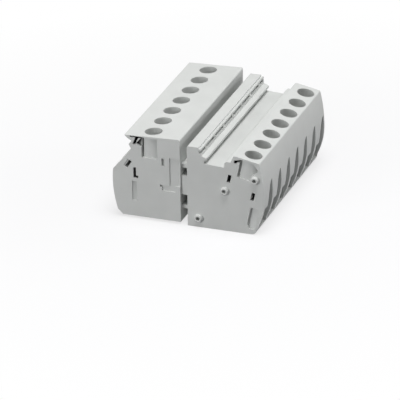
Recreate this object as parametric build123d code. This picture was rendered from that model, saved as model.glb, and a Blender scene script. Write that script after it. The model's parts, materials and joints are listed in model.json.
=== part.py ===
"""Feed-through terminal block: seven poles in two halves that clamp a wall between them.

Millimetres. Before the last step X = 0 is the outer half's face on the wall, Y = 0 is the
closed side of the first pole and Z = 0 is the bottom. The outer half lies along +X. The
inner half is drawn the same way round, then turned over to lie along -X.
"""
from build123d import *
from math import cos, hypot, radians, sin
import os

# Row of poles
poles = 7
pitch = 12.2
side_wall = 1.2
cover_t = 1.2
clamp_y = (side_wall + pitch) / 2

# Wall between the halves
wall_gap = 3.4
close_travel = 2.2
slide_play = 0.4

# Outer half outline
outer_height = 39.6
lip_w = 5.7
strip_w = 6.8
strip_z = 38.9
ledge_x = 7.0
ledge_z = 35.5
ledge_end_x = 9.4
ledge_fall = 0.8
ledge_t = 1.1
channel_x = 8.2
channel_z = 32.0
channel_end_x = 18.0
channel_end_z = 31.4
step_z = 34.4
step_bevel = 0.8
step_end_x = 21.0
hood_x = 22.4
hood_z = 37.6
face_in = 6.4
face_out = 5.0
outer_reach = 36.8
outer_reach_z = 18.0
outer_hip_x = 33.6
outer_hip_z = 3.9
outer_foot_x = 32.6
foot_round = 2.4
edge_round = 0.8

# Inner half outline
inner_bottom = 1.1
inner_top = 42.1
plate_end_x = 30.1
plate_fall = 1.0
plate_t = 1.5
hook_x = 26.7
hook_z = 38.5
nose_x = 28.1
nose_z = 36.6
shoulder_x = 26.7
shoulder_z = 34.0
shoulder_end_x = 35.9
shoulder_end_z = 23.5
inner_reach = 36.2
inner_reach_z = 18.6
inner_hip_x = 33.9
inner_hip_z = 3.4

# Clamping screw, its shaft and the tilt of the outer clamps
outer_screw_x = 29.8
outer_screw_z = 36.5
outer_tilt = 11.5
inner_screw_x = 18.3
shaft_r = 4.1
shaft_wall = 2.2
driver_depth = 7.5
shaft_depth = 11.0
shoulder_t = 1.2
screw_r = 2.5
screw_pitch = 0.8
screw_turns = 6
head_r = 3.5
head_t = 3.2
slot_w = 1.2
slot_depth = 1.6
blade_bevel = 0.6
thread_play = 0.06
seat_play = 0.1
shank_play = 0.3
head_play = 0.2

# Clamping yoke
yoke_head = 3.6
yoke_side = 1.6
yoke_floor = 1.5
yoke_depth = 9.2
yoke_play = 0.3
side_play = 0.4
wire_space = 8.2
lift = screw_turns * screw_pitch

# Current bars
bar_t = 2.5
bar_play = 0.2
bar_end = 4.2
bar_lead = 7.5
bar_bend_x = 3.0
blade_reach = 9.5
tine_t = 1.2
tine_play = 0.15
fork_mouth = 4.6
fork_web = 1.2

# Neck and latch tongues of the outer half
neck_reach = 7.0
neck_half = 4.6
neck_wall = 1.2
tongue_reach = 7.6
tongue_t = 1.8
tongue_w = 8.4
tongue_drop = 11.0
tongue_rise = 9.3
tongue_bevel = 0.6

# Conductor entry
entry_wall = 2.0
entry_r = 3.9
scoop_h = 10.5
leaf_w = 5.6
leaf_h = 11.2
scoop_reach = 20.0

# Window and marks on the closed side
mark_t = 1.2
mark_w = 4.0
mark_h = 9.2
mark_cut = 1.4
window_in = 4.0
window_top = 0.8
window_depth = 2.4
window_gap = 0.9
outer_window_low = 9.8
outer_window_out = 5.0
outer_window_cut = 2.6
inner_window_low = 10.7
inner_window_out = 3.6
inner_window_ear = 2.6
inner_window_ear_low = 5.4
slit_depth = 8.0
slit_w = 1.5
slit_h = 4.0
slit_lean = 12.0
slit_ledge_w = 0.7
slit_ledge_t = 0.5
hood_slit_x = 20.1
hood_slit_z = 26.2
front_slit_x = 31.4
front_slit_z = 18.8
notch_x = 23.3
notch_z = 34.9
notch_w = 2.4
notch_h = 1.4
notch_depth = 5.0
plate_slit_x = 21.2
plate_slit_w = 6.3
plate_slit_t = 0.7
plate_slit_depth = 2.2
plate_slit_down = 0.8
catch_w = 1.3
catch_x = 25.6
catch_z = 36.9
catch_top_x = 24.0
back_slit_x = 28.5
back_slit_z = 26.8
back_slit_lean = -32.0
hook_slit_x = 24.8
hook_slit_z = 20.1
hook_slit_w = 1.3
hook_slit_h = 5.3
toe_w = 1.1
wall_slit_x = 10.8
wall_slit_z = 27.9
wall_slit_h = 3.9
latch_mark_x = 8.5
latch_mark_z = 18.5
latch_mark_h = 13.8
step_mark_w = 3.7
step_mark_h = 2.9
eye_size = 1.0
step_mark_t = 0.6
ramp_x = 24.4
ramp_w = 2.4
ramp_h = 9.6
ramp_t = 1.0

# Groove in the lip for marker strips
marker_slot_z = 36.6
marker_slot_h = 1.5
marker_tab_w = 1.4

# Studs that join the outer discs
stud_r = 2.0
stud_hole_r = 0.95
stud_sides = 8
stud_h = 1.6
stud_play = 0.1
stud_places = [(32.7, 27.3), (18.1, 20.0), (5.4, 4.6)]

# Heights along a clamp's axis, measured down from the mouth of its shaft
chamber_top = shaft_depth + shoulder_t
yoke_top = chamber_top + slide_play + lift
window_roof = yoke_top + yoke_head
bar_top = window_roof + bar_play
bar_bottom = bar_top + bar_t
entry_depth = bar_bottom + wire_space / 2
yoke_bottom = bar_bottom + wire_space + yoke_floor
chamber_bottom = yoke_bottom + yoke_play
chamber_half = yoke_depth / 2 + yoke_play

# Widths across a pole, which follow the yoke
yoke_w = pitch - side_wall - 2 * side_play
bar_w = yoke_w - 2 * yoke_side - 2 * bar_play
entry_floor = chamber_half + entry_wall
scoop_near = clamp_y - entry_r - seat_play

# The inner shaft's mouth lies on the sloping plate, and the blade meets the fork below it
inner_screw_z = inner_top - plate_fall * (inner_screw_x - wall_gap) / (plate_end_x - wall_gap)
blade_z = inner_screw_z - (bar_top + bar_bottom) / 2
tongue_heights = [blade_z - tongue_drop, blade_z + tongue_rise]


def slab(sketch, near, far):
    """Make a flat shape, drawn with X across and Z up, solid from Y = near to Y = far."""
    return extrude(Plane.XZ * Pos(0, 0, -near) * sketch, amount=near - far)


def rounded(sketch, corners, radius):
    """Round the corners of a flat shape that lie nearest to the given points."""
    for corner in corners:
        sketch = fillet(sketch.vertices().sort_by_distance(corner)[0], radius)
    return sketch


def band(points, width):
    """A strip of even width along a bent line."""
    legs = [(b[0] - a[0], b[1] - a[1]) for a, b in zip(points, points[1:])]
    units = [(x / hypot(x, z), z / hypot(x, z)) for x, z in legs]
    left, right = [], []
    for point, before, after in zip(points, [units[0]] + units, units + [units[-1]]):
        mitre = width / (1 + before[0] * after[0] + before[1] * after[1]) / 2
        across = (-(before[1] + after[1]) * mitre, (before[0] + after[0]) * mitre)
        left.append((point[0] + across[0], point[1] + across[1]))
        right.append((point[0] - across[0], point[1] - across[1]))
    return make_face(Polyline(*left, *reversed(right), close=True))


class Clamp:
    """The place of one clamp: the mouth of its screw shaft and the lean of its axis."""

    def __init__(self, x, z, tilt):
        self.flat = Pos(x, z) * Rot(0, 0, -tilt)
        self.solid = Pos(x, clamp_y, z) * Rot(0, tilt, 0)
        self.origin = (x, z)
        self.across = (cos(radians(tilt)), -sin(radians(tilt)))
        self.up = (sin(radians(tilt)), cos(radians(tilt)))

    def point(self, out, down):
        """The X and Z of a point that lies out from the axis and down from the mouth."""
        x = self.origin[0] + out * self.across[0] - down * self.up[0]
        z = self.origin[1] + out * self.across[1] - down * self.up[1]
        return (x, z)

    def box(self, out_from, out_to, down_from, down_to):
        """A flat rectangle between two distances out and two depths down."""
        middle = Pos((out_from + out_to) / 2, -(down_from + down_to) / 2)
        return self.flat * middle * Rectangle(out_to - out_from, down_to - down_from)


outer_clamp = Clamp(outer_screw_x, outer_screw_z, outer_tilt)
inner_clamp = Clamp(inner_screw_x, inner_screw_z, 0)


def flat_box(x_from, x_to, z_from, z_to):
    """A flat rectangle between two places in X and two in Z."""
    middle = Pos((x_from + x_to) / 2, (z_from + z_to) / 2)
    return middle * Rectangle(x_to - x_from, z_to - z_from)


def outer_outline():
    """Side view of the outer half: lip, labelling channel, tilted screw face, curved front."""
    shelf = Polyline(
        (outer_foot_x, 0),
        (0, 0),
        (0, outer_height),
        (lip_w, outer_height),
        (lip_w, strip_z),
        (strip_w, strip_z),
        (ledge_x, ledge_z),
        (ledge_end_x, ledge_z - ledge_fall),
        (ledge_end_x, ledge_z - ledge_fall - ledge_t),
        (channel_x, ledge_z - ledge_fall - ledge_t),
        (channel_x, channel_z),
        (channel_end_x, channel_end_z),
        (channel_end_x, step_z - step_bevel),
        (channel_end_x + step_bevel, step_z),
        (step_end_x, step_z),
        (hood_x, hood_z),
        outer_clamp.point(-face_in, 0),
        outer_clamp.point(face_out, 0),
    )
    widest = (outer_reach, outer_reach_z)
    above = TangentArc(widest, shelf @ 1, tangent=(0, 1))
    below = TangentArc(widest, (outer_hip_x, outer_hip_z), tangent=(0, -1))
    foot = Line((outer_hip_x, outer_hip_z), (outer_foot_x, 0))
    face = make_face(shelf + above + below + foot)
    face = rounded(face, [(outer_foot_x, 0)], foot_round)
    return rounded(face, [(0, outer_height), shelf @ 1], edge_round)


def inner_outline():
    """Side view of the inner half: top plate with a hooked edge, shoulder, curved front."""
    tip_z = inner_top - plate_fall
    shelf = Polyline(
        (inner_hip_x - foot_round, inner_bottom),
        (wall_gap, inner_bottom),
        (wall_gap, inner_top),
        (plate_end_x, tip_z),
        (plate_end_x - plate_t, tip_z - plate_t),
        (hook_x, hook_z),
        (nose_x, nose_z),
        (shoulder_x, shoulder_z),
        (shoulder_end_x, shoulder_end_z),
    )
    widest = (inner_reach, inner_reach_z)
    above = TangentArc(widest, shelf @ 1, tangent=(0, 1))
    below = TangentArc(widest, (inner_hip_x, inner_hip_z), tangent=(0, -1))
    foot = Line((inner_hip_x, inner_hip_z), shelf @ 0)
    face = make_face(shelf + above + below + foot)
    return rounded(face, [(wall_gap, inner_top)], edge_round)


def side_slot(half, down_from, down_to):
    """Slot round the clamp's axis between two depths, open towards the next pole."""
    floor = Pos(0, (pitch - half) / 2) * Rectangle(2 * half, pitch + half)
    return extrude(Pos(0, 0, -down_to) * floor, amount=down_to - down_from)


def shaft_cut(clamp):
    """Round shaft for the screwdriver, room for the screw's head and a slot for its shank."""
    height = driver_depth + face_out
    bore = Pos(0, 0, height / 2 - driver_depth) * Cylinder(shaft_r, height)
    head_room = side_slot(head_r + head_play, driver_depth, shaft_depth)
    shank_slot = side_slot(screw_r + shank_play, shaft_depth, chamber_top)
    return [clamp.solid * cut for cut in (bore, head_room, shank_slot)]


def chamber_cut(clamp):
    """Pocket for the yoke, open towards the next pole."""
    outline = clamp.box(-chamber_half, chamber_half, chamber_top, chamber_bottom)
    return slab(outline, side_wall, pitch)


def entry_cut(clamp):
    """Conductor entry: a round hole behind a scoop with a pointed arch above it."""
    length = entry_wall + seat_play
    hole = Rot(0, 90, 0) * Cylinder(entry_r, length)
    hole = clamp.solid * Pos(chamber_half + entry_wall / 2, 0, -entry_depth) * hole
    top = entry_depth - scoop_h / 2
    scoop = clamp.box(entry_floor, scoop_reach, top, top + scoop_h)
    scoop = slab(scoop, scoop_near, pitch)
    quarter = Ellipse(leaf_w, leaf_h) & Pos(-leaf_w / 2, leaf_h / 2) * Rectangle(leaf_w, leaf_h)
    arch = Plane((entry_floor, pitch - clamp_y, -top), x_dir=(0, 1, 0), z_dir=(1, 0, 0))
    leaf = clamp.solid * extrude(arch * quarter, amount=scoop_reach)
    return [hole, scoop, leaf]


def window_cut(clamp, corners, gap_from, low):
    """Recess on the closed side, which shows the round wall of the screw shaft."""
    outline = make_face(Polyline(*[clamp.point(*corner) for corner in corners], close=True))
    tube = clamp.solid * Pos(0, 0, -shaft_depth / 2) * Cylinder(shaft_r + shaft_wall, shaft_depth)
    gap = clamp.box(gap_from, gap_from + window_gap, window_top, low)
    return [slab(outline, 0, window_depth) - tube, slab(gap, 0, window_depth)]


def outer_window():
    """The outer window's corners, which leave room for the stud below it."""
    inner_x = outer_window_out - outer_window_cut
    return [
        (-window_in, window_top),
        (inner_x, window_top),
        (outer_window_out, window_top + outer_window_cut),
        (outer_window_out, outer_window_low - 2 * outer_window_cut),
        (inner_x, outer_window_low - outer_window_cut),
        (inner_x, outer_window_low),
        (-window_in, outer_window_low),
    ]


def inner_window():
    """The inner window's corners, with an ear under the top plate."""
    return [
        (-window_in, window_top),
        (inner_window_out, window_top),
        (inner_window_out + inner_window_ear, inner_window_ear_low - mark_cut),
        (inner_window_out, inner_window_ear_low),
        (inner_window_out, inner_window_low),
        (-window_in, inner_window_low),
    ]


def entry_mark(clamp):
    """Recess on the closed side, beside the conductor entry, which runs out to the front."""
    top = entry_depth - scoop_h / 2
    near = chamber_half + yoke_play
    outline = make_face(Polyline(
        clamp.point(near, top),
        clamp.point(near + mark_w, top),
        clamp.point(near + mark_w, top + mark_h + mark_cut),
        clamp.point(near + mark_cut, top + mark_h + mark_cut),
        clamp.point(near, top + mark_h),
        close=True,
    ))
    floor = -clamp_y
    wedge = Polyline((near, floor), (near, floor + mark_t), (near + mark_w, floor), close=True)
    ramp = Plane((0, 0, -yoke_bottom - scoop_h)) * make_face(wedge)
    return slab(outline, 0, mark_t) & clamp.solid * extrude(ramp, amount=yoke_bottom + scoop_h)


def slit(x, z, lean):
    """Narrow tool slot on the closed side, with a shallow ledge on its outward side."""
    place = Pos(x, z) * Rot(0, 0, -lean)
    wide = Pos(slit_ledge_w / 2, 0) * Rectangle(slit_w + slit_ledge_w, slit_h)
    hole = slab(place * Rectangle(slit_w, slit_h), 0, slit_depth)
    return [hole, slab(place * wide, 0, slit_ledge_t)]


def outer_marks():
    """Tool slots and notch on the closed side of an outer disc."""
    half = notch_h / 2
    notch = make_face(Polyline(
        (notch_x - half, notch_z - half),
        (notch_x + half, notch_z - half),
        (notch_x + half, notch_z),
        (notch_x + notch_w, notch_z),
        (notch_x + notch_w, notch_z + notch_h),
        (notch_x - half, notch_z + half),
        close=True,
    ))
    hood = slit(hood_slit_x, hood_slit_z, slit_lean)
    front = slit(front_slit_x, front_slit_z, slit_lean)
    return hood + front + [slab(notch, 0, notch_depth)]


def inner_marks():
    """Tool slots, catches and shallow steps on the closed side of an inner disc."""
    plate_z = inner_top - plate_fall - plate_slit_down
    under_plate = flat_box(plate_slit_x, plate_slit_x + plate_slit_w, plate_z, plate_z + plate_slit_t)
    catch = band([(catch_top_x, plate_z + plate_slit_t / 2), (catch_x, catch_z)], catch_w)
    hook_top = hook_slit_z + hook_slit_h
    hook = flat_box(hook_slit_x, hook_slit_x + hook_slit_w, hook_slit_z, hook_top)
    toe = flat_box(hook_slit_x - toe_w, hook_slit_x, hook_slit_z, hook_slit_z + hook_slit_w)
    wall_slit = flat_box(wall_slit_x, wall_slit_x + slit_w, wall_slit_z, wall_slit_z + wall_slit_h)
    latch_top = latch_mark_z + latch_mark_h
    latch_mark = flat_box(wall_gap, latch_mark_x, latch_mark_z, latch_top)
    step_x = latch_mark_x + step_mark_w
    step_low = latch_mark_z - step_mark_h
    step_mark = flat_box(latch_mark_x - step_mark_h, step_x, step_low, latch_mark_z)
    eye = flat_box(step_x, step_x + eye_size, latch_mark_z - eye_size, latch_mark_z)
    ramp = make_face(Polyline((ramp_x, 0), (ramp_x + ramp_w, 0), (ramp_x, ramp_t), close=True))
    ramp_z = inner_clamp.point(0, entry_depth)[1] - ramp_h / 2
    cuts = [slab(shape, 0, notch_depth) for shape in (catch, hook, toe)]
    cuts += [slab(under_plate, 0, plate_slit_depth), slab(wall_slit, 0, mark_t)]
    cuts += [slab(shape, 0, step_mark_t) for shape in (latch_mark, step_mark)]
    cuts += [slab(eye, 0, side_wall), extrude(Pos(0, 0, ramp_z) * ramp, amount=ramp_h)]
    return cuts + slit(back_slit_x, back_slit_z, back_slit_lean)


def marker_cut():
    """Groove along the lip for the marker strips, with one tab for each pole."""
    groove = flat_box(lip_w, ledge_x, marker_slot_z, marker_slot_z + marker_slot_h)
    half = marker_tab_w / 2
    return [slab(groove, 0, clamp_y - half), slab(groove, clamp_y + half, pitch)]


def bar_line():
    """Middle line of the outer current bar, from the clamp to the tip of its blade."""
    middle = (bar_top + bar_bottom) / 2
    start = outer_clamp.point(bar_end, middle)
    lead = outer_clamp.point(-bar_lead, middle)
    return [start, lead, (bar_bend_x, blade_z), (-blade_reach, blade_z)]


def tongue(z, play, near, far):
    """Latch tongue, or the pocket for it where play is more than nothing."""
    half = tongue_t / 2 + play
    outline = flat_box(near, far, z - half, z + half)
    across = tongue_w / 2 + play
    return slab(outline, clamp_y - across, clamp_y + across)


def outer_neck():
    """Neck round the blade and two latch tongues, which go through the wall."""
    near = side_wall + yoke_play
    inside = neck_half - neck_wall
    outline = flat_box(-neck_reach, 0, blade_z - neck_half, blade_z + neck_half)
    hollow = flat_box(-neck_reach, 0, blade_z - inside, blade_z + inside)
    block = slab(outline, near, pitch - yoke_play) - slab(hollow, near + neck_wall, pitch)
    for z in tongue_heights:
        blade = tongue(z, 0, -tongue_reach, 0)
        tip = blade.faces().sort_by(Axis.X)[0].edges().filter_by(Axis.Y)
        block += chamfer(tip, tongue_bevel)
    return block


def stud(x, z):
    """Hollow stud on the closed side."""
    ring = RegularPolygon(stud_r, stud_sides) - RegularPolygon(stud_hole_r, stud_sides // 2)
    return slab(Pos(x, z) * ring, -stud_h, 0)


def socket(x, z):
    """Square socket on the open side, which grips the next disc's stud at four lines."""
    side = 2 * (stud_r + stud_play)
    return slab(Pos(x, z) * Rectangle(side, side), pitch - stud_h - stud_play, pitch)


def outer_disc():
    """One moulded disc of the outer half."""
    disc = slab(outer_outline(), 0, pitch) + outer_neck()
    bar_near = clamp_y - bar_w / 2 - bar_play
    slot = band(bar_line()[:3] + [(0, blade_z)], bar_t + 2 * bar_play)
    cuts = shaft_cut(outer_clamp) + entry_cut(outer_clamp) + marker_cut() + outer_marks()
    cuts += [chamber_cut(outer_clamp), entry_mark(outer_clamp)]
    cuts += window_cut(outer_clamp, outer_window(), -window_in, outer_window_low)
    cuts += [slab(slot, bar_near, pitch)]
    cuts += [socket(x, z) for x, z in stud_places]
    for cut in cuts:
        disc -= cut
    for x, z in stud_places:
        disc += stud(x, z)
    return disc


def inner_disc():
    """One moulded disc of the inner half, drawn with its front along +X."""
    disc = slab(inner_outline(), 0, pitch)
    bar_near = clamp_y - bar_w / 2 - bar_play
    neck_end = neck_reach + close_travel + slide_play
    half = neck_half + yoke_play
    cuts = shaft_cut(inner_clamp) + entry_cut(inner_clamp) + inner_marks()
    cuts += [chamber_cut(inner_clamp)]
    gap_from = inner_window_out - window_gap
    cuts += window_cut(inner_clamp, inner_window(), gap_from, inner_window_low)
    cuts += [slab(flat_box(wall_gap, neck_end, blade_z - half, blade_z + half), side_wall, pitch)]
    fork = bar_t / 2 + tine_play + tine_t + bar_play
    chamber_x = inner_screw_x - chamber_half
    cuts += [slab(flat_box(neck_end, chamber_x, blade_z - fork, blade_z + fork), bar_near, pitch)]
    for z in tongue_heights:
        end = tongue_reach + close_travel + slide_play
        cuts += [tongue(z, yoke_play, wall_gap, end)]
    for cut in cuts:
        disc -= cut
    return disc


def screw(clamp):
    """Slotted clamping screw, seated at the bottom of its shaft."""
    length = bar_top - shaft_depth - 2 * seat_play
    head = Pos(0, 0, head_t / 2) * Cylinder(head_r, head_t)
    shank = Pos(0, 0, -length / 2) * Cylinder(screw_r, length)
    slot = Pos(0, 0, head_t - slot_depth / 2) * Box(2 * head_r, slot_w, slot_depth)
    return clamp.solid * Pos(0, 0, seat_play - shaft_depth) * (head + shank - slot)


def yoke(clamp):
    """Clamping yoke: a steel frame with the screw's thread in its top."""
    height = yoke_bottom - yoke_top
    opening_h = height - yoke_head - yoke_floor
    frame = Rectangle(yoke_w, height)
    lift_opening = (yoke_floor - yoke_head) / 2
    opening = Pos(0, lift_opening) * Rectangle(yoke_w - 2 * yoke_side, opening_h)
    across = Plane((0, 0, 0), x_dir=(0, 1, 0), z_dir=(1, 0, 0))
    body = extrude(across * (frame - opening), amount=yoke_depth / 2, both=True)
    body -= Pos(0, 0, (height - yoke_head) / 2) * Cylinder(screw_r + thread_play, yoke_head)
    return clamp.solid * Pos(0, 0, -(yoke_top + yoke_bottom) / 2) * body


def across_bar(sketch):
    """Make a flat shape as wide as a current bar, in the middle of the pole."""
    return slab(sketch, clamp_y - bar_w / 2, clamp_y + bar_w / 2)


def current_bar():
    """Outer current bar, which ends in the blade."""
    bar = across_bar(band(bar_line(), bar_t))
    tip = bar.faces().sort_by(Axis.X)[0].edges().filter_by(Axis.Y)
    return chamfer(tip, blade_bevel)


def contact_bar():
    """Inner contact bar, with a fork that takes the blade."""
    tine_in = bar_t / 2 + tine_play
    tine_out = tine_in + tine_t
    web_end = blade_reach + close_travel + tine_play + tine_play + fork_web
    web_in = web_end - fork_web
    bar_far = inner_screw_x + bar_end
    shape = flat_box(web_in, bar_far, blade_z - bar_t / 2, blade_z + bar_t / 2)
    shape += flat_box(web_in, web_end, blade_z - tine_out, blade_z + tine_out)
    shape += flat_box(fork_mouth, web_end, blade_z + tine_in, blade_z + tine_out)
    shape += flat_box(fork_mouth, web_end, blade_z - tine_out, blade_z - tine_in)
    return across_bar(shape)


def outer_cover():
    """Cover on the last outer disc, with pegs for its sockets."""
    end = poles * pitch
    cover = slab(outer_outline(), end, end + cover_t)
    for x, z in stud_places:
        cover += slab(Pos(x, z) * RegularPolygon(stud_r, stud_sides), end - stud_h, end)
    return cover


def inner_cover():
    """Cover on the last inner disc, drawn with its front along +X."""
    end = poles * pitch
    return slab(inner_outline(), end, end + cover_t)


def turned(shape):
    """Turn a piece of the inner half over, to lie along -X."""
    return mirror(shape, about=Plane.YZ)


def pieces():
    """Every piece by name, in the frame that the sizes are drawn in."""
    once = {
        "outer_housing": outer_disc(),
        "outer_screw": screw(outer_clamp),
        "outer_yoke": yoke(outer_clamp),
        "current_bar": current_bar(),
        "inner_housing": turned(inner_disc()),
        "inner_screw": turned(screw(inner_clamp)),
        "inner_yoke": turned(yoke(inner_clamp)),
        "contact_bar": turned(contact_bar()),
    }
    made = {"outer_end_cover": outer_cover(), "inner_end_cover": turned(inner_cover())}
    for name, shape in once.items():
        for pole in range(poles):
            made[f"{name}_{pole + 1}"] = Pos(0, pole * pitch, 0) * shape
    return made


def main():
    """Write each piece, with the origin at the bottom centre of the whole block."""
    made = pieces()
    boxes = [shape.bounding_box() for shape in made.values()]
    low = [min(box.min.X for box in boxes), min(box.min.Y for box in boxes)]
    high = [max(box.max.X for box in boxes), max(box.max.Y for box in boxes)]
    bottom = min(box.min.Z for box in boxes)
    shift = Pos(-(low[0] + high[0]) / 2, -(low[1] + high[1]) / 2, -bottom)
    os.makedirs("parts", exist_ok=True)
    for name, shape in made.items():
        export_step(shift * shape, f"parts/{name}.step")


main()
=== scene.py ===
"""Seven-pole feed-through terminal block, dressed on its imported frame. Metres, +Z up."""

import json
from math import cos, pi, radians, sin

import bmesh
import bpy
from mathutils import Matrix, Vector

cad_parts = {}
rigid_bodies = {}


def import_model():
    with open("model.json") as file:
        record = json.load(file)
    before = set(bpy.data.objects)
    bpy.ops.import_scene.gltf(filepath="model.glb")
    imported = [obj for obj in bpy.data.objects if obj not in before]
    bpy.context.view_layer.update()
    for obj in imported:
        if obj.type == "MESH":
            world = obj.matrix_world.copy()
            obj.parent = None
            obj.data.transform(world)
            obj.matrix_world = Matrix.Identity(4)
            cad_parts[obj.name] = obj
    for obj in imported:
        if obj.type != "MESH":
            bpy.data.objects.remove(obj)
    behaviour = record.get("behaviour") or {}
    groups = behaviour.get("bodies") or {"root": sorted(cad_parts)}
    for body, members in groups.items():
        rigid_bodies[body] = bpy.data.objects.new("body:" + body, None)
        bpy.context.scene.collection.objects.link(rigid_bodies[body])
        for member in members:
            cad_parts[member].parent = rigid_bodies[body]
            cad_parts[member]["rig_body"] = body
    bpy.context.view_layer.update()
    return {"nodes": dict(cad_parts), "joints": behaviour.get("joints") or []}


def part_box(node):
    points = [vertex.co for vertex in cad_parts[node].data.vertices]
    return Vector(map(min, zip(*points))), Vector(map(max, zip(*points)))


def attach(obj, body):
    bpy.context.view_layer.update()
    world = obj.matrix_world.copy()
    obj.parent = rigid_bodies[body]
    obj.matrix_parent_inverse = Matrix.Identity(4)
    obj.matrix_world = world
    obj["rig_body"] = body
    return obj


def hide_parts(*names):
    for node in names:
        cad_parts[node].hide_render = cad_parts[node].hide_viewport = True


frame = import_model()

# Outer housing discs: seven mouldings of light grey polyamide that carry the outer screw
# shafts. Each comes out of one mould, so its edges have a small radius and its skin a fine
# satin grain. They are snapped together side by side by their studs.
scene = bpy.context.scene
millimetre = 0.001
poles = 7

# The plastic: its two tones and roughnesses follow the clouds of the melt's flow. The scales
# of all the patterns are per metre.
light_grey = (0.60, 0.614, 0.60)
cloud_scale = 90
cloud_detail = 3
cloud_spots = (0.35, 0.65)
cloud_tones = (0.97, 1.02)
satin_roughness = (0.42, 0.58)
grain_scale = 4200
grain_detail = 2
grain_strength = 0.25
grain_height = 0.02 * millimetre
whole_range = (0, 1)

# The moulding: edges that turn by more than mould_turn have the mould's radius.
weld_gap = 0.002 * millimetre
flat_turn = radians(0.5)
mould_radius = 0.1 * millimetre
mould_turn = radians(32)
bevel_steps = 2
round_steps = 32

# The studs. Places on the closed sides are x and z in mm, from the wall face of the outer
# half, which lies at wall_face_x in the block's frame, and from the foot.
wall_face_x = -0.3
stud_places = ((32.7, 27.3), (18.1, 20.0), (5.4, 4.6))
stud_r = 1.84 * millimetre
stud_hole_r = 0.85 * millimetre
stud_height = 1.6 * millimetre
stud_hole_depth = 4.5 * millimetre
stud_rim = 0.25 * millimetre
stud_axis_gap = stud_rim / 10

# The slits in the closed side, each as x, z, reach about that place and depth of its floor,
# in mm. Their walls get painted shade, from the first tone to the second between the two
# depths.
outer_slits = ((20.1, 26.2, 2.5, 8.0), (31.4, 18.8, 2.5, 8.0), (24.2, 35.2, 2.3, 5.0))
slit_slack = 0.2 * millimetre
slit_shade_depths = (0.2 * millimetre, 1.6 * millimetre)
slit_shade_tones = (1.0, 0.06)

# The shallow marks with sloping floors: how they are told from other faces, and how far
# their floors are set in.
ramp_tilt = (radians(5), radians(40))
ramp_area = 8 * millimetre ** 2
ramp_reach = 1.0 * millimetre
ramp_step = 0.15 * millimetre
ramp_depth = 0.4 * millimetre


def new_material(name):
    """A new material, with the nodes and links of its tree."""
    material = bpy.data.materials.new(name)
    material.use_nodes = True
    return material, material.node_tree.nodes, material.node_tree.links


def noise(nodes, links, place, scale, detail):
    """Noise over the given coordinates."""
    pattern = nodes.new("ShaderNodeTexNoise")
    pattern.inputs["Scale"].default_value = scale
    pattern.inputs["Detail"].default_value = detail
    links.new(place, pattern.inputs["Vector"])
    return pattern.outputs["Fac"]


def blend_colours(nodes, links, pattern, spots, colours):
    """The first colour up to the pattern's first spot, and the second from its second."""
    ramp = nodes.new("ShaderNodeValToRGB")
    for stop, spot, colour in zip(ramp.color_ramp.elements, spots, colours):
        stop.position = spot
        stop.color = (*colour, 1)
    links.new(pattern, ramp.inputs["Fac"])
    return ramp.outputs["Color"]


def map_range(nodes, links, value, before, after):
    """The value, with the range it had before spread over the range after."""
    span = nodes.new("ShaderNodeMapRange")
    for limit, number in zip(("From Min", "From Max", "To Min", "To Max"), before + after):
        span.inputs[limit].default_value = number
    links.new(value, span.inputs["Value"])
    return span.outputs["Result"]


def raise_skin(nodes, links, pattern, strength, height):
    """Raise the material's skin by a pattern."""
    bump = nodes.new("ShaderNodeBump")
    bump.inputs["Strength"].default_value = strength
    bump.inputs["Distance"].default_value = height
    links.new(pattern, bump.inputs["Height"])
    links.new(bump.outputs["Normal"], nodes["Principled BSDF"].inputs["Normal"])


def moulded_plastic(name, colour):
    """Satin polyamide: even colour with faint flow clouds, fine grain and a soft sheen.

    It paints shade down the walls of the slits, which open into the hollow of the real disc.
    """
    plastic, nodes, links = new_material(name)
    skin = nodes["Principled BSDF"]
    place = nodes.new("ShaderNodeTexCoord").outputs["Object"]
    clouds = noise(nodes, links, place, cloud_scale, cloud_detail)
    tones = [[channel * tone for channel in colour] for tone in cloud_tones]
    tint = blend_colours(nodes, links, clouds, cloud_spots, tones)
    # Painted shade: the base colour is scaled down along the slit walls, the deeper the darker.
    slit = nodes.new("ShaderNodeAttribute")
    slit.attribute_name = "slit_shade_depth"
    shaded = nodes.new("ShaderNodeVectorMath")
    shaded.operation = "SCALE"
    links.new(tint, shaded.inputs["Vector"])
    links.new(
        map_range(nodes, links, slit.outputs["Fac"], slit_shade_depths, slit_shade_tones),
        shaded.inputs["Scale"],
    )
    links.new(shaded.outputs["Vector"], skin.inputs["Base Color"])
    sheen = map_range(nodes, links, clouds, whole_range, satin_roughness)
    links.new(sheen, skin.inputs["Roughness"])
    grain = noise(nodes, links, place, grain_scale, grain_detail)
    raise_skin(nodes, links, grain, grain_strength, grain_height)
    return plastic


def merged_copy(node):
    """The node's triangles joined into whole flat faces, as a bmesh."""
    shape = bmesh.new()
    shape.from_mesh(frame["nodes"][node].data)
    bmesh.ops.remove_doubles(shape, verts=shape.verts, dist=weld_gap)
    bmesh.ops.dissolve_limit(shape, angle_limit=flat_turn, verts=shape.verts, edges=shape.edges)
    return shape


def break_edges(shape, radius, sharpest):
    """Round every edge that turns by more than the given angle."""
    edges = [e for e in shape.edges if e.is_manifold and e.calc_face_angle(0) > sharpest]
    bmesh.ops.bevel(
        shape,
        geom=edges,
        offset=radius,
        offset_type="OFFSET",
        segments=bevel_steps,
        profile=0.5,
        affect="EDGES",
        clamp_overlap=True,
        material=-1,
    )


def finished_piece(shape, name, material, node):
    """Turn a bmesh into an object that stands for a node and rides on its body."""
    mesh = bpy.data.meshes.new(name)
    shape.to_mesh(mesh)
    shape.free()
    mesh.materials.append(material)
    mesh.shade_smooth()
    piece = bpy.data.objects.new(name, mesh)
    scene.collection.objects.link(piece)
    even = piece.modifiers.new("even_normals", "WEIGHTED_NORMAL")
    even.keep_sharp = True
    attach(piece, frame["nodes"][node]["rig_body"])
    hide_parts(node)


def drawn_place(x, y, z):
    """The point at a place drawn in mm on a side, and at the given y in metres."""
    return Vector(((x + wall_face_x) * millimetre, y, z * millimetre))


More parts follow.
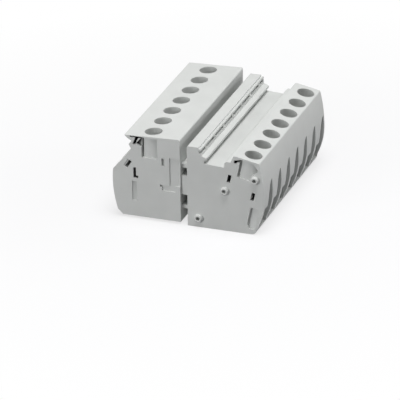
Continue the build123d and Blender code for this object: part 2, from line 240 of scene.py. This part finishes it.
def paint_slit_shade(shape, closed_side, slits):
    """Note how deep the floors of the slits lie, for the plastic to paint shade down their
    walls.
    """
    depth = shape.verts.layers.float.new("slit_shade_depth")
    for corner in shape.verts:
        down = corner.co.y - closed_side
        for x, z, reach, floor_depth in slits:
            aside = (corner.co - drawn_place(x, 0, z)).xz.length
            if aside < reach * millimetre and abs(down - floor_depth * millimetre) < slit_slack:
                corner[depth] = down


def sink_ramps(shape, closed_side):
    """Set the sloping floors of the shallow marks in the closed side a little deeper."""
    ramps = [
        face for face in shape.faces
        if -cos(ramp_tilt[0]) < face.normal.y < -cos(ramp_tilt[1])
        and face.calc_area() > ramp_area
        and face.calc_center_median().y < closed_side + ramp_reach
    ]
    bmesh.ops.inset_region(shape, faces=ramps, thickness=ramp_step, depth=-ramp_depth)


def turn_profile(shape, centre, profile, axis_gap):
    """Turn a profile of radii and heights towards -Y about the centre, closed on its axis."""
    corners = [shape.verts.new(centre + Vector((r, -out, 0))) for r, out in profile]
    edges = [shape.edges.new(pair) for pair in zip(corners, corners[1:])]
    bmesh.ops.spin(
        shape, geom=corners + edges, cent=centre, axis=(0, 1, 0), angle=2 * pi,
        steps=round_steps, use_merge=True,
    )
    near_axis = [v for v in shape.verts if v.is_valid and (v.co - centre).xz.length < axis_gap]
    bmesh.ops.remove_doubles(shape, verts=near_axis, dist=axis_gap)


def add_stud(shape, base):
    """Turn a round hollow stud and join its foot to the opening in the flat side."""
    profile = [
        (0, stud_height - stud_hole_depth),
        (stud_hole_r, stud_height - stud_hole_depth),
        (stud_hole_r, stud_height - stud_rim / 2),
        (stud_hole_r + stud_rim / 2, stud_height),
        (stud_r - stud_rim, stud_height),
        (stud_r, stud_height - stud_rim),
        (stud_r, 0),
    ]
    turn_profile(shape, base, profile, stud_axis_gap)
    foot = [
        edge for edge in shape.edges
        if edge.is_boundary and (edge.verts[0].co - base).length < stud_r + stud_rim
    ]
    bmesh.ops.triangle_fill(shape, edges=foot, use_beauty=True, normal=(0, -1, 0))


polyamide = moulded_plastic("polyamide_light_grey", light_grey)
for pole in range(1, poles + 1):
    node = f"outer_housing_{pole}"
    disc = merged_copy(node)
    low_corner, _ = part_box(node)
    closed_side = low_corner[1] + stud_height
    bases = [drawn_place(x, closed_side, z) for x, z in stud_places]
    # The solid's eight-sided studs come off here, and round ones take their place.
    plain_studs = [
        face for face in disc.faces
        if face.calc_center_median().y < closed_side + stud_rim
        and any(
            max((corner.co - base).xz.length for corner in face.verts) < stud_r + stud_rim
            for base in bases
        )
    ]
    bmesh.ops.delete(disc, geom=plain_studs, context="FACES")
    break_edges(disc, mould_radius, mould_turn)
    sink_ramps(disc, closed_side)
    # Painted shade on the slit walls, darker with depth.
    paint_slit_shade(disc, closed_side, outer_slits)
    for base in bases:
        add_stud(disc, base)
    bmesh.ops.recalc_face_normals(disc, faces=disc.faces)
    finished_piece(disc, f"outer_disc_{pole}", polyamide, node)

# Inner housing discs: seven mouldings of the same polyamide on the far side of the wall,
# with an upright screw shaft under a flat top plate. They snap onto the outer half's
# latch tongues through the wall.
inner_slits = (
    (-28.5, 26.8, 2.5, 8.0),
    (-25.4, 22.8, 3.5, 5.0),
    (-24.8, 38.8, 3.0, 5.0),
    (-24.4, 40.7, 3.4, 2.2),
)
for pole in range(1, poles + 1):
    node = f"inner_housing_{pole}"
    disc = merged_copy(node)
    break_edges(disc, mould_radius, mould_turn)
    low_corner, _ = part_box(node)
    closed_side = low_corner[1]
    sink_ramps(disc, closed_side)
    # Painted shade on the slit walls, darker with depth.
    paint_slit_shade(disc, closed_side, inner_slits)
    finished_piece(disc, f"inner_disc_{pole}", polyamide, node)

# End covers: two plates of the same polyamide that close the open side of the last disc
# of each half. They have the discs' outline and are pressed on, and the outer side of each
# shows the shallow round marks of the pins that hold it.
halves = ("outer", "inner")
pin_places = {
    "outer": stud_places,
    "inner": ((-9.5, 8.5), (-27.5, 9.5), (-9.0, 34.5)),
}
mark_r = 2.0 * millimetre
mark_depth = 0.25 * millimetre
mark_point_r = 0.5 * millimetre
mark_point_depth = 0.6 * millimetre
mark_axis_gap = mark_point_r / 4
flat_side_turn = radians(1)
dish = [
    (0, mark_point_depth),
    (mark_point_r, mark_depth),
    (mark_r - mark_depth, mark_depth),
    (mark_r, 0),
]
for half in halves:
    node = f"{half}_end_cover"
    cover = merged_copy(node)
    break_edges(cover, mould_radius, mould_turn)
    _, high_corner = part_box(node)
    outside = high_corner[1]
    flat_side = [
        face for face in cover.faces
        if face.normal.y > cos(flat_side_turn)
        and face.calc_center_median().y > outside - mark_depth / 2
    ]
    bmesh.ops.delete(cover, geom=flat_side, context="FACES_ONLY")
    for x, z in pin_places[half]:
        turn_profile(cover, drawn_place(x, outside, z), dish, mark_axis_gap)
    rims = [edge for edge in cover.edges if edge.is_boundary]
    bmesh.ops.triangle_fill(cover, edges=rims, use_beauty=True, normal=(0, 1, 0))
    bmesh.ops.recalc_face_normals(cover, faces=cover.faces)
    finished_piece(cover, f"{half}_cover_plate", polyamide, node)

# Clamping screws: fourteen slotted M5 screws of zinc plated steel, one at the bottom of each
# shaft. The head is turned, with a driver slot sawn across it, and the thread is rolled on.
patch_scale = 260
patch_detail = 4
patch_spots = (0.3, 0.62)
line_scale = 1400
line_detail = 2
line_stretch = (1, 1, 9)
line_strength = 0.2
line_height = 0.01 * millimetre
zinc_bright = (0.66, 0.66, 0.64)
zinc_dull = (0.52, 0.53, 0.53)
zinc_roughness = (0.42, 0.26)
core_r = 2.05 * millimetre
crest_r = 2.5 * millimetre
thread_pitch = 0.8 * millimetre
crest_flat = 0.06 * millimetre
root_half = 0.32 * millimetre
tip_taper = 0.5 * millimetre
plain_neck = 0.9 * millimetre
turn_steps = 28
head_underside = 0.12 * millimetre
head_edge_r = 0.2 * millimetre
thread_weld = 0.001 * millimetre
joints = {joint["name"]: joint for joint in frame["joints"]}


def plated_metal(name, bright, dull, roughness):
    """Plated metal: bright with faint dull patches, and fine lines left by forming."""
    metal, nodes, links = new_material(name)
    skin = nodes["Principled BSDF"]
    skin.inputs["Metallic"].default_value = 1.0
    place = nodes.new("ShaderNodeTexCoord").outputs["Object"]
    patches = noise(nodes, links, place, patch_scale, patch_detail)
    tint = blend_colours(nodes, links, patches, patch_spots, (dull, bright))
    links.new(tint, skin.inputs["Base Color"])
    sheen = map_range(nodes, links, patches, whole_range, roughness)
    links.new(sheen, skin.inputs["Roughness"])
    stretch = nodes.new("ShaderNodeMapping")
    stretch.inputs["Scale"].default_value = line_stretch
    links.new(place, stretch.inputs["Vector"])
    lines = noise(nodes, links, stretch.outputs["Vector"], line_scale, line_detail)
    raise_skin(nodes, links, lines, line_strength, line_height)
    return metal


def screw_axis(half, pole):
    """Matrix from a screw's own frame, Z up its axis from the seat, to the block's."""
    joint = joints[f"{half}_screw_turn_{pole}"]
    up = -Vector(joint["axis"])
    turn = Vector((0, 0, 1)).rotation_difference(up).to_matrix().to_4x4()
    return Matrix.Translation(Vector(joint["pos_m"])) @ turn


def turned_core(shape, length):
    """Turn the core of the shank, closed at both ends, with a tapered tip."""
    profile = [
        (0, -length),
        (core_r - tip_taper, -length),
        (core_r, tip_taper - length),
        (core_r, crest_r - core_r),
        (0, crest_r - core_r),
    ]
    corners = [shape.verts.new((r, 0, z)) for r, z in profile]
    edges = [shape.edges.new(pair) for pair in zip(corners, corners[1:])]
    bmesh.ops.spin(
        shape, geom=corners + edges, cent=(0, 0, 0), axis=(0, 0, 1), angle=2 * pi,
        steps=turn_steps, use_merge=True,
    )


def rolled_thread(shape, length):
    """Wind the thread's ridge up the core from the tip."""
    turns = int((length - plain_neck) / thread_pitch)
    low = tip_taper - length
    inside = core_r - crest_flat
    profile = [
        (inside, -root_half),
        (crest_r, -crest_flat),
        (crest_r, crest_flat),
        (inside, root_half),
    ]
    corners = [shape.verts.new((r, 0, low + z)) for r, z in profile]
    bmesh.ops.spin(
        shape, geom=[shape.faces.new(corners)], cent=(0, 0, 0), axis=(0, 0, 1),
        dvec=(0, 0, thread_pitch / turn_steps), angle=2 * pi * turns,
        steps=turn_steps * turns,
    )


zinc = plated_metal("zinc_plated_steel", zinc_bright, zinc_dull, zinc_roughness)
for half in halves:
    for pole in range(1, poles + 1):
        node = f"{half}_screw_{pole}"
        axis = screw_axis(half, pole)
        screw = merged_copy(node)
        bmesh.ops.transform(screw, matrix=axis.inverted(), verts=screw.verts)
        shank_end = -min(v.co.z for v in screw.verts)
        # The solid's plain shank is cut off under the head, and a threaded one is put on.
        cut = bmesh.ops.bisect_plane(
            screw, geom=screw.verts[:] + screw.edges[:] + screw.faces[:],
            plane_co=(0, 0, head_underside), plane_no=(0, 0, 1), clear_inner=True,
        )
        rim = [e for e in cut["geom_cut"] if isinstance(e, bmesh.types.BMEdge)]
        bmesh.ops.holes_fill(screw, edges=rim)
        break_edges(screw, head_edge_r, mould_turn)
        turned_core(screw, shank_end)
        rolled_thread(screw, shank_end)
        bmesh.ops.remove_doubles(screw, verts=screw.verts, dist=thread_weld)
        bmesh.ops.recalc_face_normals(screw, faces=screw.faces)
        bmesh.ops.transform(screw, matrix=axis, verts=screw.verts)
        finished_piece(screw, f"{half}_slotted_screw_{pole}", zinc, node)

# Clamping yokes: fourteen cages folded from steel strip and plated. The thread for the screw
# is tapped in the thick top, and the floor lifts the conductor against the bar.
strip_bright = (0.60, 0.60, 0.58)
strip_dull = (0.47, 0.48, 0.49)
strip_roughness = (0.5, 0.34)
fold_r = 0.35 * millimetre
fold_turn = radians(60)
strip = plated_metal("plated_steel_strip", strip_bright, strip_dull, strip_roughness)
for half in halves:
    for pole in range(1, poles + 1):
        node = f"{half}_yoke_{pole}"
        cage = merged_copy(node)
        break_edges(cage, fold_r, fold_turn)
        finished_piece(cage, f"{half}_folded_yoke_{pole}", strip, node)

# Current bars and contact bars: tin plated copper alloy, stamped from strip. The blade of
# each current bar goes through the wall into the fork of the contact bar.
tin_bright = (0.78, 0.75, 0.70)
tin_dull = (0.66, 0.62, 0.55)
tin_roughness = (0.38, 0.24)
stamped_r = 0.12 * millimetre
stamped_turn = radians(20)
tinned = plated_metal("tin_plated_copper", tin_bright, tin_dull, tin_roughness)
for stem in ("current_bar", "contact_bar"):
    for pole in range(1, poles + 1):
        node = f"{stem}_{pole}"
        bar = merged_copy(node)
        break_edges(bar, stamped_r, stamped_turn)
        finished_piece(bar, f"stamped_{stem}_{pole}", tinned, node)

# Floor: a pale matt sheet just under the block, white to the camera, which keeps a faint
# shadow near the block and is clear from below. It is part of the studio, not of the block.
floor_half = 3.0
floor_gap = 0.1 * millimetre
paper_colour = (0.8, 0.8, 0.82, 1)
bounce_colour = (0.25, 0.25, 0.26, 1)
shadow_reach = (0.06, 0.22)
shadow_cover = (0.7, 1.0)


def seen_directly(nodes, links):
    """1 for the camera's own rays, mirrored and refracted ones too, and 0 for all others."""
    path = nodes.new("ShaderNodeLightPath")
    seen = path.outputs["Is Camera Ray"]
    for ray in ("Is Glossy Ray", "Is Transmission Ray"):
        either = nodes.new("ShaderNodeMath")
        either.operation = "MAXIMUM"
        links.new(seen, either.inputs[0])
        links.new(path.outputs[ray], either.inputs[1])
        seen = either.outputs["Value"]
    return seen


def mix_shaders(nodes, links, share, first, second):
    """The first shader, with the given share of the second."""
    mix = nodes.new("ShaderNodeMixShader")
    for source, socket in zip((share, first, second), mix.inputs):
        links.new(source, socket)
    return mix.outputs["Shader"]


floor_shape = bmesh.new()
bmesh.ops.create_grid(floor_shape, x_segments=1, y_segments=1, size=floor_half)
bmesh.ops.translate(floor_shape, verts=floor_shape.verts, vec=(0, 0, -floor_gap))
floor_mesh = bpy.data.meshes.new("floor")
floor_shape.to_mesh(floor_mesh)
floor_shape.free()
floor = bpy.data.objects.new("floor", floor_mesh)
scene.collection.objects.link(floor)
paper, nodes, links = new_material("white_paper")
matt = nodes["Principled BSDF"]
matt.inputs["Base Color"].default_value = paper_colour
matt.inputs["Roughness"].default_value = 1.0
matt.inputs["Specular IOR Level"].default_value = 0.0
glow = nodes.new("ShaderNodeEmission")
glow.inputs["Strength"].default_value = 1.0
place = nodes.new("ShaderNodeTexCoord")
from_block = nodes.new("ShaderNodeVectorMath")
from_block.operation = "LENGTH"
links.new(place.outputs["Object"], from_block.inputs["Vector"])
fade = map_range(nodes, links, from_block.outputs["Value"], shadow_reach, shadow_cover)
seen_floor = mix_shaders(nodes, links, fade, matt.outputs["BSDF"], glow.outputs["Emission"])
bounce = nodes.new("ShaderNodeBsdfDiffuse")
bounce.inputs["Color"].default_value = bounce_colour
directly = seen_directly(nodes, links)
upper_side = mix_shaders(nodes, links, directly, bounce.outputs["BSDF"], seen_floor)
side = nodes.new("ShaderNodeNewGeometry").outputs["Backfacing"]
under_side = nodes.new("ShaderNodeBsdfTransparent").outputs["BSDF"]
both_sides = mix_shaders(nodes, links, side, upper_side, under_side)
links.new(both_sides, nodes["Material Output"].inputs["Surface"])
floor_mesh.materials.append(paper)

# Studio light: an even pale room and three soft lamps, above, at the left front and at the
# right back, which leave the conductor entries and the slits dark, as in the photograph. The
# slits' walls are darkened further by painted shade in the plastic.
# Each lamp has its name, place, diameter and power.
white = (1.0, 1.0, 1.0, 1)
even_strength = 0.1
white_strength = 1.0
lamps_aim = Vector((0, 0, 0.02))
softboxes = (
    ("overhead_softbox", (0.15, -0.12, 1.14), 0.8, 12.9),
    ("front_softbox", (-0.55, -1.08, 0.3), 0.6, 6.0),
    ("right_softbox", (1.05, 0.6, 0.3), 0.6, 3.8),
)
room = bpy.data.worlds.new("studio")
scene.world = room
room.use_nodes = True
nodes, links = room.node_tree.nodes, room.node_tree.links
even_light = nodes["Background"]
even_light.inputs["Color"].default_value = white
even_light.inputs["Strength"].default_value = even_strength
white_wall = nodes.new("ShaderNodeBackground")
white_wall.inputs["Color"].default_value = white
white_wall.inputs["Strength"].default_value = white_strength
room_light = mix_shaders(
    nodes, links, seen_directly(nodes, links),
    even_light.outputs["Background"], white_wall.outputs["Background"],
)
links.new(room_light, nodes["World Output"].inputs["Surface"])
for name, lamp_place, diameter, power in softboxes:
    lamp_data = bpy.data.lights.new(name, "AREA")
    lamp_data.shape = "DISK"
    lamp_data.size = diameter
    lamp_data.energy = power
    lamp = bpy.data.objects.new(name, lamp_data)
    lamp.location = lamp_place
    lamp.rotation_euler = (lamps_aim - lamp.location).to_track_quat("-Z", "Y").to_euler()
    scene.collection.objects.link(lamp)

# Camera: above the front right corner, far back with a long lens, and rolled by under a
# degree, as the photograph was taken. It stands back from its aim, and then a little aside
# and down.
view_turn = radians(20.2308)
view_height = radians(25.1548)
view_roll = radians(-0.8773)
view_aim = Vector((-0.0003, 0.0008, 0.02074))
view_distance = 2.1404
view_aside = -0.00889
view_down = -0.02477
sensor_width_mm = 36
lens_mm = 417.3
nearest = 0.1
farthest = 20
back = Vector((
    sin(view_turn) * cos(view_height),
    -cos(view_turn) * cos(view_height),
    sin(view_height),
))
level = Vector((cos(view_turn), sin(view_turn), 0))
above = back.cross(level)
picture_right = cos(view_roll) * level + sin(view_roll) * above
picture_up = cos(view_roll) * above - sin(view_roll) * level
eye = bpy.data.cameras.new("camera")
eye.sensor_width = sensor_width_mm
eye.lens = lens_mm
eye.clip_start = nearest
eye.clip_end = farthest
camera = bpy.data.objects.new("camera", eye)
camera_turn = Matrix((picture_right, picture_up, back)).transposed()
camera_place = (
    view_aim + back * view_distance + picture_right * view_aside + picture_up * view_down
)
camera.matrix_world = Matrix.Translation(camera_place) @ camera_turn.to_4x4()
scene.collection.objects.link(camera)
scene.camera = camera
scene.view_settings.view_transform = "Standard"
